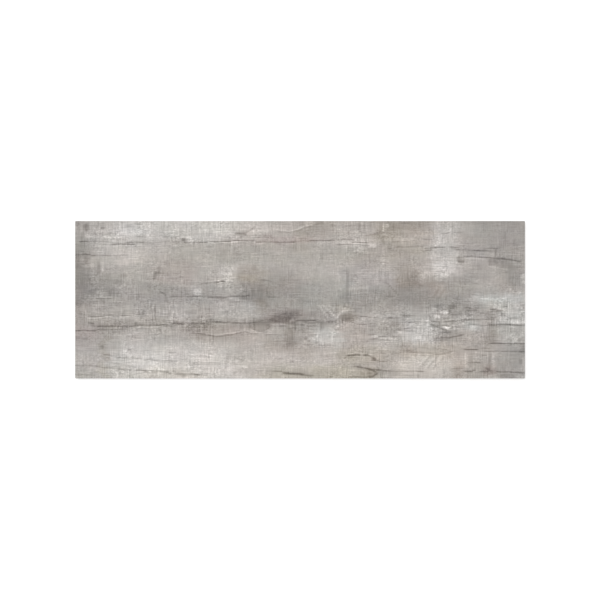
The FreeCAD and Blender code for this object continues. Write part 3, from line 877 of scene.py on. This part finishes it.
# The board that the stains lie on, in levels of 255. Its warmth is red less blue, and its pink is
# how much more of red and blue it has than of green.
BOARD_LEVEL = 167.4
BOARD_WARMTH = 11.0
BOARD_PINK = 0.5

x, y = face_grid()
u = FACE_MIDDLE[0] + x / PIXEL
v = FACE_MIDDLE[1] - y / PIXEL

# Stains have ragged edges that run out along the grain and along the saw marks, so each point
# looks them up a little to one side, and by less for a small stain. A shift is a sum of clouds:
# how far each one goes in pixels, its spacing along and across, and its seed.
SHIFTS_ALONG = ((4, 34, 2.2, 11), (3, 15, 7, 1), (1.2, 5, 3, 2))
SHIFTS_ACROSS = ((2, 2.4, 30, 12), (1.8, 19, 8, 3), (0.8, 6, 2.5, 4))
FULL_RAGGED = 50
SOFT_EDGE, FIRM_EDGE = 1, 2
shift_u = sum(far * cloud(u, v, *spacing_and_seed) for far, *spacing_and_seed in SHIFTS_ALONG)
shift_v = sum(far * cloud(u, v, *spacing_and_seed) for far, *spacing_and_seed in SHIFTS_ACROSS)


def ragged_stain(left, right, top, bottom):
    """A soft stain that fills a box, looked up with the shifts. They count in full where the box's
    width and height add up to the full ragged size or more, and in proportion where to less."""
    ragged = min(1, (right - left + bottom - top) / FULL_RAGGED)
    moved_u, moved_v = u + ragged * shift_u, v + ragged * shift_v
    return stain(moved_u, moved_v, left, right, top, bottom, SOFT_EDGE)


tone = np.full(u.shape, BOARD_LEVEL)
warmth = np.full(u.shape, BOARD_WARMTH)
pink = np.full(u.shape, BOARD_PINK)
for *box, lighter, warmer, pinker in STAINS.values():
    cover = ragged_stain(*box)
    tone += lighter * cover
    warmth += warmer * cover
    pink += pinker * cover
for *box, lighter in SHADES.values():
    tone += lighter * ragged_stain(*box)
for *box, warmer, pinker in TINTS.values():
    cover = ragged_stain(*box)
    warmth += warmer * cover
    pink += pinker * cover

# Marks are small and crisp, and take only a little of the shifts.
MARK_SHARE_ALONG, MARK_SHARE_ACROSS = 0.06, 0.1
mark_u, mark_v = u + MARK_SHARE_ALONG * shift_u, v + MARK_SHARE_ACROSS * shift_v
mark = np.zeros(u.shape)
for group in MARKS.values():
    for *box, lighter in group:
        mark += lighter * stain(mark_u, mark_v, *box, FIRM_EDGE)

# Lines wander a little and are darker in some places than in others. Pale lines lighten the board,
# and where dark lines cross the darker one shows.
LINE_WANDER, LINE_UNEVEN = 0.3, 0.3
wander = v + LINE_WANDER * cloud(u, v, along=4, across=40, seed=5)
bite = 1.0 + LINE_UNEVEN * cloud(u, v, along=7, across=12, seed=6)
split = np.zeros(u.shape)
for group in LINES.values():
    for stroke, darker, points in group:
        line = darker * bite * crack(u, wander, stroke, points)
        tone -= np.minimum(line, 0)
        split = np.maximum(split, line)

rough = np.ones(u.shape)
for *box, rougher in ROUGH.values():
    rough += rougher * stain(u + shift_u, v + shift_v, *box, SOFT_EDGE)

# The relief goes down from the CAD face and comes back up to it at the arris. A crack is as deep
# as its line is dark.
CRACK_DEPTH = 0.00022
GRAIN_DEPTH = 0.00005
SAW_DEPTH = 0.00003
RELIEF_BORDER = 0.0015
DEEPEST_SPLIT = 60.0
grain = 0.5 + 0.5 * cloud(u, v, along=22, across=1.6, seed=7)
saw = 0.5 + 0.5 * cloud(u, v, along=2.6, across=30, seed=8)
sunk = CRACK_DEPTH * np.clip(split / DEEPEST_SPLIT, 0, 1) + GRAIN_DEPTH * grain + SAW_DEPTH * saw
from_edge = np.minimum(length / 2 - ARRIS_RADIUS - abs(x), width / 2 - ARRIS_RADIUS - abs(y))
z = thickness - sunk * soft_step(from_edge / RELIEF_BORDER)


def outline_angles():
    """Which way the outline faces at each station round the face's border: straight out along a
    side, and turning evenly through a right angle round a corner."""
    angles = []
    for side, steps in enumerate([FACE_STEPS_ALONG, FACE_STEPS_ACROSS] * 2):
        corner = 180 + 90 * side + np.linspace(0, 90, CORNER_STATIONS)
        angles += [corner, np.full(steps - 1, 270 + 90 * side)]
    return np.radians(np.concatenate(angles))


def border_stations(border):
    """The border's point numbers, with each corner's number once for each of its stations."""
    counts = np.ones(len(border), int)
    sides = [FACE_STEPS_ALONG, FACE_STEPS_ACROSS, FACE_STEPS_ALONG, FACE_STEPS_ACROSS]
    counts[np.cumsum(sides) - sides] = CORNER_STATIONS
    return np.repeat(border, counts)


def side_profile():
    """How far in from the outline, and how high, each loop of the sides lies: a quarter circle
    over the arris, then the bottom of the straight land, then the edge of the back."""
    turn = np.linspace(0, np.pi / 2, ARRIS_STEPS + 1)[1:]
    inset = np.append(ARRIS_RADIUS * (1 - np.sin(turn)), [0, BACK_INSET])
    height = np.append(thickness - ARRIS_RADIUS * (1 - np.cos(turn)), [DRAFT_HEIGHT, 0])
    return inset, height


def cell_lines(count):
    """Places and heights of the lines that bound a row of cells: each cell has its mouth's edge
    on the bed plane, its floor's two edges up in the blank, and its mouth's other edge."""
    half_mouth = (CELL_PITCH - RIB_WIDTH) / 2
    half_floor = half_mouth - RIB_HEIGHT * np.tan(RIB_DRAFT)
    centres = (np.arange(count) - (count - 1) / 2) * CELL_PITCH
    edges = np.array([-half_mouth, -half_floor, half_floor, half_mouth])
    return (centres[:, None] + edges).ravel(), np.tile([0, RIB_HEIGHT, RIB_HEIGHT, 0], count)


def lace(outer, inner, points):
    """Triangles between two closed loops of different counts, facing down. Each step round
    either loop makes one triangle with the point that the other loop has reached."""

    def in_turn(loop):
        """The loop's point numbers and angles about its middle, in the order of those angles."""
        flat = points[loop, :2] / np.abs(points[loop, :2]).max(axis=0)
        angle = np.arctan2(flat[:, 1], flat[:, 0])
        order = np.argsort(angle)
        return loop[order], angle[order]

    outer, outer_angle = in_turn(outer)
    inner, inner_angle = in_turn(inner)
    steps_inner = np.repeat([False, True], [len(outer), len(inner)])
    steps_inner = steps_inner[np.argsort(np.append(outer_angle, inner_angle), kind="stable")]
    at_outer = np.cumsum(~steps_inner) - 1
    at_inner = np.cumsum(steps_inner) - 1
    on_outer = np.stack([outer[at_outer], outer[at_outer - 1], inner[at_inner]], axis=1)
    on_inner = np.stack([inner[at_inner - 1], inner[at_inner], outer[at_outer]], axis=1)
    return np.where(steps_inner[:, None], on_inner, on_outer)


face_index = np.arange(x.size).reshape(x.shape)
stations = border_stations(round_the_grid(face_index))
face_points = np.stack([x, y, z], axis=-1).reshape(-1, 3)
angles = outline_angles()
normal = np.stack([np.cos(angles), np.sin(angles)], axis=1)
arc_limit = np.array([length, width]) / 2 - CORNER_RADIUS
arc_middle = np.clip(face_points[stations, :2], -arc_limit, arc_limit)
inset, height = side_profile()
side_flat = arc_middle + (CORNER_RADIUS - inset[:, None, None]) * normal
side_high = np.broadcast_to(height[:, None, None], side_flat.shape[:2] + (1,))
side_points = np.concatenate([side_flat, side_high], axis=2).reshape(-1, 3)
side_index = x.size + np.arange(len(side_points)).reshape(len(inset), len(stations))

line_x, high_x = cell_lines(CELLS_ALONG)
line_y, high_y = cell_lines(CELLS_ACROSS)
back_x, back_y = np.meshgrid(line_x, line_y)
back_z = np.minimum(*np.meshgrid(high_x, high_y))
back_points = np.stack([back_x, back_y, back_z], axis=-1).reshape(-1, 3)
back_index = x.size + len(side_points) + np.arange(back_x.size).reshape(back_x.shape)
plank_points = np.concatenate([face_points, side_points, back_points])


def grid_quads(index):
    """Faces of a grid of point numbers, anticlockwise as its rows and columns go up."""
    corners = [index[:-1, :-1], index[:-1, 1:], index[1:, 1:], index[1:, :-1]]
    return np.stack(corners, axis=-1).reshape(-1, 4)


loops = np.concatenate([stations[None], side_index])
closed_loops = np.concatenate([loops, loops[:, :1]], axis=1)
side_quads = grid_quads(closed_loops)[:, ::-1]
at_corner = side_quads[:, 2] == side_quads[:, 3]
side_faces = side_quads[~at_corner].tolist() + side_quads[at_corner, :3].tolist()

# A cell's corner quads fold along the line to the one corner that lies up on the cell's floor.
back_quads = grid_quads(back_index)[:, ::-1]
floor_corner = plank_points[back_quads, 2].argmax(axis=1)[:, None]
back_quads = np.take_along_axis(back_quads, (floor_corner + np.arange(4)) % 4, axis=1)
rim = lace(side_index[-1], round_the_grid(back_index), plank_points)
back_faces = np.concatenate([rim, back_quads[:, :3], back_quads[:, [0, 2, 3]]]).tolist()
top_faces = grid_quads(face_index).tolist() + side_faces

plank_mesh = bpy.data.meshes.new("plank")
plank_mesh.from_pydata(plank_points, [], top_faces + back_faces)
plank_mesh.shade_smooth()
plank_mesh.set_sharp_from_angle(angle=SHARP_ANGLE)
plank = bpy.data.objects.new("plank", plank_mesh)
bpy.context.scene.collection.objects.link(plank)

LEVELS = 255.0


def add_attribute(name, on_face):
    """Stores a value for each point: the face's own, the border's carried down the sides, and
    nothing on the back."""
    on_sides = np.tile(on_face.ravel()[stations], len(inset))
    values = np.concatenate([on_face.ravel(), on_sides, np.zeros(len(back_points))])
    layer = plank_mesh.attributes.new(name, "FLOAT", "POINT")
    layer.data.foreach_set("value", values.astype(np.float32))


add_attribute("tone", tone / LEVELS)
add_attribute("warmth", warmth / LEVELS)
add_attribute("pink", pink / LEVELS)
add_attribute("mark", mark / LEVELS)
add_attribute("split", split / LEVELS)
add_attribute("rough", rough)

# The map for baked colours: the face and the sides folded out round it take most of it, and the
# plain back lies in a strip below.
FOLDED_SIDES = 0.010
TOP_STRIP = (0.27, 0.99)
BACK_STRIP = (0.01, 0.25)
step_in = np.diff(inset, prepend=ARRIS_RADIUS)
step_down = np.diff(height, prepend=thickness)
run_down = np.cumsum(np.hypot(step_in, step_down))
folded = face_points[stations, :2] + run_down[:, None, None] * normal
unfolded = np.concatenate([face_points[:, :2], folded.reshape(-1, 2), back_points[:, :2]])
half_sheet = np.array([length, width]) / 2 + FOLDED_SIDES
across_sheet = unfolded / (2 * half_sheet) + 0.5
across_back = plank_points[:, :2] / (2 * half_sheet) + 0.5
corner_point = np.zeros(len(plank_mesh.loops), np.int32)
plank_mesh.loops.foreach_get("vertex_index", corner_point)
first_back_corner = sum(len(face) for face in top_faces)
bake_place = across_sheet[corner_point] * [1, TOP_STRIP[1] - TOP_STRIP[0]] + [0, TOP_STRIP[0]]
on_back = across_back[corner_point] * [1, BACK_STRIP[1] - BACK_STRIP[0]] + [0, BACK_STRIP[0]]
bake_place[first_back_corner:] = on_back[first_back_corner:]
bake_map = plank_mesh.uv_layers.new(name="OFBake")
bake_map.uv.foreach_set("vector", bake_place.astype(np.float32).ravel())


class Wire:
    """A value on its way through a shader. Sums, differences, products, quotients and powers of
    such values and plain numbers add Math nodes, and node() adds any other kind."""

    def __init__(self, tree, socket=None):
        self.tree = tree
        self.socket = socket

    def node(self, kind, settings, sockets, output=0):
        """Adds a node with those settings and with those values or wires in its sockets."""
        made = self.tree.nodes.new(kind)
        for name, value in settings.items():
            setattr(made, name, value)
        for name, value in sockets.items():
            if isinstance(value, Wire):
                self.tree.links.new(value.socket, made.inputs[name])
            else:
                made.inputs[name].default_value = value
        return Wire(self.tree, made.outputs[output]) if len(made.outputs) else made

    def math(self, operation, first, second):
        """Adds a Math node for that operation on two values or wires."""
        return self.node("ShaderNodeMath", {"operation": operation}, {0: first, 1: second})

    def __add__(self, other):
        return self.math("ADD", self, other)

    def __sub__(self, other):
        return self.math("SUBTRACT", self, other)

    def __rsub__(self, other):
        return self.math("SUBTRACT", other, self)

    def __mul__(self, other):
        return self.math("MULTIPLY", self, other)

    def __truediv__(self, other):
        return self.math("DIVIDE", self, other)

    def __pow__(self, other):
        return self.math("POWER", self, other)

    __radd__ = __add__
    __rmul__ = __mul__


def new_shader(name):
    """An empty node material and the start of its wires."""
    material = bpy.data.materials.new(name)
    material.use_nodes = True
    material.node_tree.nodes.clear()
    return material, Wire(material.node_tree)


SCREEN_LIFT, SCREEN_POWER = 0.055, 2.4


def linear(level):
    """A screen level as the amount of light it stands for, by the screen's standard curve."""
    return ((level + SCREEN_LIFT) / (1 + SCREEN_LIFT)) ** SCREEN_POWER


finish, start = new_shader("printed_porcelain")
place = start.node("ShaderNodeTexCoord", {}, {}, "Object")


def attribute(name):
    """One of the plank's stored values."""
    return start.node("ShaderNodeAttribute", {"attribute_name": name}, {}, "Fac")


SEED_STEP_ALONG, SEED_STEP_ACROSS = 17.3, 9.1
FIBRE_ROUGHNESS = 0.5


def fibres(along, across, seed, detail=1.0):
    """Noise about zero whose spots are that long along the plank and that high across it. Each
    seed is another part of the same noise."""
    apart = (seed * SEED_STEP_ALONG, seed * SEED_STEP_ACROSS, 0)
    stretch = {0: place, 1: (1 / along, 1 / across, 0), 2: apart}
    spot = start.node("ShaderNodeVectorMath", {"operation": "MULTIPLY_ADD"}, stretch)
    sockets = {"Vector": spot, "Scale": 1.0, "Detail": detail, "Roughness": FIBRE_ROUGHNESS}
    return start.node("ShaderNodeTexNoise", {"noise_dimensions": "2D"}, sockets) - 0.5


thin_grain = fibres(0.013, 0.0013, 1)
hair = fibres(0.020, 0.0009, 9)
thin_saw = fibres(0.0014, 0.009, 2)
thread = fibres(0.0010, 0.018, 10)
long_grain = fibres(0.055, 0.0032, 7)
long_saw = fibres(0.0034, 0.034, 8)
grit = fibres(0.0024, 0.0013, 13)
flecks = fibres(0.0042, 0.0030, 3)
mottle = fibres(0.022, 0.011, 4, 2.0)
broken = fibres(0.010, 0.004, 5)
blush = fibres(0.03, 0.02, 6)

# The grain, the saw marks and the specks are each stronger in some patches than in others.
PATCHINESS = 3.0
grainy = 1.0 + fibres(0.030, 0.011, 11) * PATCHINESS
sawn = 1.0 + fibres(0.011, 0.030, 12) * PATCHINESS
gritty = 1.0 + fibres(0.018, 0.014, 14) * PATCHINESS

# How much each kind of noise changes the print, as a share of the screen's range.
THIN_GRAIN_INK, HAIR_INK, THIN_SAW_INK, THREAD_INK = 0.10, 0.10, 0.08, 0.10
LONG_GRAIN_INK, LONG_SAW_INK = 0.05, 0.04
GRIT_INK, FLECK_INK, MOTTLE_INK = 0.12, 0.08, 0.07
along_grain = thin_grain * THIN_GRAIN_INK + hair * HAIR_INK
across_grain = thin_saw * THIN_SAW_INK + thread * THREAD_INK
specks = grit * GRIT_INK + flecks * FLECK_INK
texture = along_grain * grainy + across_grain * sawn + specks * gritty
texture = texture + long_grain * LONG_GRAIN_INK + long_saw * LONG_SAW_INK + mottle * MOTTLE_INK

# Specks break up the marks, and gaps in the ink break up the cracks.
MARK_GRIT, MARK_FLECKS, SPLIT_GAPS = 1.5, 1.2, 0.6
marks = attribute("mark") * (1.0 + grit * MARK_GRIT + flecks * MARK_FLECKS)
ink = attribute("split") * (1.0 + broken * SPLIT_GAPS)
level = attribute("tone") + marks + texture * attribute("rough") - ink
MOTTLE_WARMTH, BLUSH_PINK = 0.02, 0.012
warmth_wire = attribute("warmth") + mottle * MOTTLE_WARMTH
pink_wire = attribute("pink") + blush * BLUSH_PINK

WARMTH_SHARES = {"Red": 0.485, "Green": 0.03, "Blue": -0.515}
PINK_SHARES = {"Red": 0.4, "Green": -0.6, "Blue": 0.2}


def tinted(level, warmth, pink):
    """A colour from its screen level, to which each channel adds its own shares of the warmth and
    of the pink."""
    channels = {
        name: linear(level + warmth * WARMTH_SHARES[name] + pink * PINK_SHARES[name])
        for name in WARMTH_SHARES
    }
    return start.node("ShaderNodeCombineColor", {"mode": "RGB"}, channels)


print_colour = tinted(level, warmth_wire, pink_wire)

# The bare body shows on the sides and the back: fired clay with fine dark and pale grains, cloudy
# from the kiln, streaked upright where the die rubbed it, and dusted with white kiln wash on the
# tips of the ribs. Just under the arris the glaze ends on it in a ragged line.
SEED_STEP = 7.7
GRAIN_ROUGHNESS = 0.6


def grains(size, seed, detail=1.0):
    """Noise about zero whose spots are that large in every direction. Each seed is another part of
    the same noise."""
    spot = start.node("ShaderNodeVectorMath", {"operation": "SCALE"}, {0: place, "Scale": 1 / size})
    step = {0: spot, 1: (seed * SEED_STEP, 0, 0)}
    apart = start.node("ShaderNodeVectorMath", {"operation": "ADD"}, step)
    sockets = {"Vector": apart, "Scale": 1.0, "Detail": detail, "Roughness": GRAIN_ROUGHNESS}
    return start.node("ShaderNodeTexNoise", {"noise_dimensions": "3D"}, sockets) - 0.5


def between(value, first, last):
    """How far a value has come from one number to another, from 0 to 1."""
    share = (value - first) / (last - first)
    return start.math("MINIMUM", start.math("MAXIMUM", share, 0.0), 1.0)


BODY_LEVEL, BODY_WARMTH, BODY_PINK = 0.735, 0.062, 0.004
CLAY_LEVEL, SALT_LEVEL, PEPPER_LEVEL, KILN_LEVEL, RUBBED_LEVEL = 0.10, 0.05, 0.16, 0.10, 0.10
KILN_WARMTH, WASH_COOLNESS = 0.05, 0.03
PEPPER_NOISE, SALT_NOISE, WASH_NOISE = (0.16, 0.24), (0.17, 0.26), (-0.18, 0.12)
WASH_LEVEL, WASH_DEPTH = 0.10, 0.00025
GLAZE_END, GLAZE_FADE, GLAZE_RAGGED = 0.0011, 0.0003, 0.0012
up = start.node("ShaderNodeSeparateXYZ", {}, {0: place}, "Z")
clay = grains(0.0007, 1, 2.0)
pepper = between(grains(0.0011, 2), *PEPPER_NOISE)
salt = between(grains(0.0014, 3), *SALT_NOISE)
kiln_cloud = grains(0.035, 4, 3.0)
above_wash = between(up, 0.0, WASH_DEPTH)
rubbed = fibres(0.0011, 0.0011, 21, 2.0) * above_wash
wash = (1.0 - above_wash) * between(grains(0.006, 5, 3.0), *WASH_NOISE)
body_level = BODY_LEVEL + clay * CLAY_LEVEL + salt * SALT_LEVEL - pepper * PEPPER_LEVEL
body_level = body_level + kiln_cloud * KILN_LEVEL + rubbed * RUBBED_LEVEL + wash * WASH_LEVEL
body_warmth = BODY_WARMTH + kiln_cloud * KILN_WARMTH - wash * WASH_COOLNESS
body_colour = tinted(body_level, body_warmth, BODY_PINK)

glaze_end = thickness - GLAZE_END + grains(0.0045, 6, 2.0) * GLAZE_RAGGED
glaze = between(up - glaze_end, 0.0, GLAZE_FADE)

# A Mix node has sockets for every kind of data, so those for colours go by number.
MIX_FACTOR, MIX_FIRST, MIX_SECOND, MIXED = 0, 6, 7, 2
both_colours = {MIX_FACTOR: glaze, MIX_FIRST: body_colour, MIX_SECOND: print_colour}
colour = start.node("ShaderNodeMix", {"data_type": "RGBA"}, both_colours, MIXED)

# The glaze is matt with a slight sheen that breaks up along the grain, and the body is dull.
GLAZE_ROUGHNESS, GRAIN_SHEEN, BODY_ROUGHNESS = 0.6, 0.3, 0.85
SPECULAR_LEVEL = 0.35
PEPPER_PITS = 0.5
SKIN_STRENGTH, SKIN_DEPTH = 0.5, 0.0002
sheen = GLAZE_ROUGHNESS + thin_grain * GRAIN_SHEEN
dullness = BODY_ROUGHNESS + glaze * (sheen - BODY_ROUGHNESS)
pits = clay + rubbed - pepper * PEPPER_PITS
skin = pits * (1.0 - glaze) + texture * glaze
bump_sockets = {"Strength": SKIN_STRENGTH, "Distance": SKIN_DEPTH, "Height": skin}
bump = start.node("ShaderNodeBump", {}, bump_sockets)
surface_sockets = {
    "Base Color": colour,
    "Roughness": dullness,
    "Specular IOR Level": SPECULAR_LEVEL,
    "Normal": bump,
}
surface = start.node("ShaderNodeBsdfPrincipled", {}, surface_sockets)
start.node("ShaderNodeOutputMaterial", {}, {"Surface": surface})
plank_mesh.materials.append(finish)
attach(plank, "root")
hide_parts("plank_tile")


# The floor: a plain white sheet of paper that the plank lies on. It keeps the plank's soft
# shadow, and a faint glow of its own keeps it white.

FLOOR_HALF = 4.0
FLOOR_COLOUR = (0.8, 0.8, 0.8, 1)
FLOOR_GLOW = 0.37
corners = FLOOR_HALF * np.array([[-1, -1, 0], [1, -1, 0], [1, 1, 0], [-1, 1, 0]])
floor_mesh = bpy.data.meshes.new("floor")
floor_mesh.from_pydata(corners, [], [[0, 1, 2, 3]])
floor = bpy.data.objects.new("floor", floor_mesh)
bpy.context.scene.collection.objects.link(floor)
paper, paper_start = new_shader("white_floor")


def seen_directly(wire):
    """1 for a ray from the camera, a mirror or a glass, and 0 for one that lights something."""
    camera_ray = wire.node("ShaderNodeLightPath", {}, {}, "Is Camera Ray")
    mirror_ray = wire.node("ShaderNodeLightPath", {}, {}, "Is Glossy Ray")
    glass_ray = wire.node("ShaderNodeLightPath", {}, {}, "Is Transmission Ray")
    return wire.math("MAXIMUM", wire.math("MAXIMUM", camera_ray, mirror_ray), glass_ray)


lit = paper_start.node("ShaderNodeBsdfDiffuse", {}, {"Color": FLOOR_COLOUR})
glow_strength = seen_directly(paper_start) * FLOOR_GLOW
glow = paper_start.node("ShaderNodeEmission", {}, {"Strength": glow_strength})
both = paper_start.node("ShaderNodeAddShader", {}, {0: lit, 1: glow})
paper_start.node("ShaderNodeOutputMaterial", {}, {"Surface": both})
floor_mesh.materials.append(paper)


# The light: an even white surround and one large soft lamp over the plank's upper left. What the
# camera sees of the surround is plain white.

SURROUND = 0.568
world = bpy.data.worlds.new("surround")
world.use_nodes = True
world.node_tree.nodes.clear()
bpy.context.scene.world = world
sky_start = Wire(world.node_tree)
sky_strength = SURROUND + seen_directly(sky_start) * (1 - SURROUND)
sky_sockets = {"Color": (1, 1, 1, 1), "Strength": sky_strength}
sky = sky_start.node("ShaderNodeBackground", {}, sky_sockets)
sky_start.node("ShaderNodeOutputWorld", {}, {"Surface": sky})

LAMP_PLACE = (-0.5, 0.5, 2.9)
LAMP_SIZE = 1.6
LAMP_POWER = 42.4
lamp_data = bpy.data.lights.new("lamp", "AREA")
lamp_data.shape = "DISK"
lamp_data.size = LAMP_SIZE
lamp_data.energy = LAMP_POWER
lamp = bpy.data.objects.new("lamp", lamp_data)
lamp.location = LAMP_PLACE
lamp.rotation_euler = Vector(LAMP_PLACE).to_track_quat("Z", "Y").to_euler()
bpy.context.scene.collection.objects.link(lamp)


# The camera looks straight down on the face through a long lens. Its picture is as many of the
# print's pixels wide as the photograph.

FRAME_PIXELS = 600
LENS = 100
camera_data = bpy.data.cameras.new("camera")
camera_data.lens = LENS
camera = bpy.data.objects.new("camera", camera_data)
frame_width = FRAME_PIXELS * PIXEL
rise = frame_width * camera_data.lens / camera_data.sensor_width
aim_x = (FRAME_PIXELS / 2 - FACE_MIDDLE[0]) * PIXEL
aim_y = (FACE_MIDDLE[1] - FRAME_PIXELS / 2) * PIXEL
camera.location = (aim_x, aim_y, thickness + rise)
bpy.context.scene.collection.objects.link(camera)
bpy.context.scene.camera = camera
bpy.context.scene.view_settings.view_transform = "Standard"
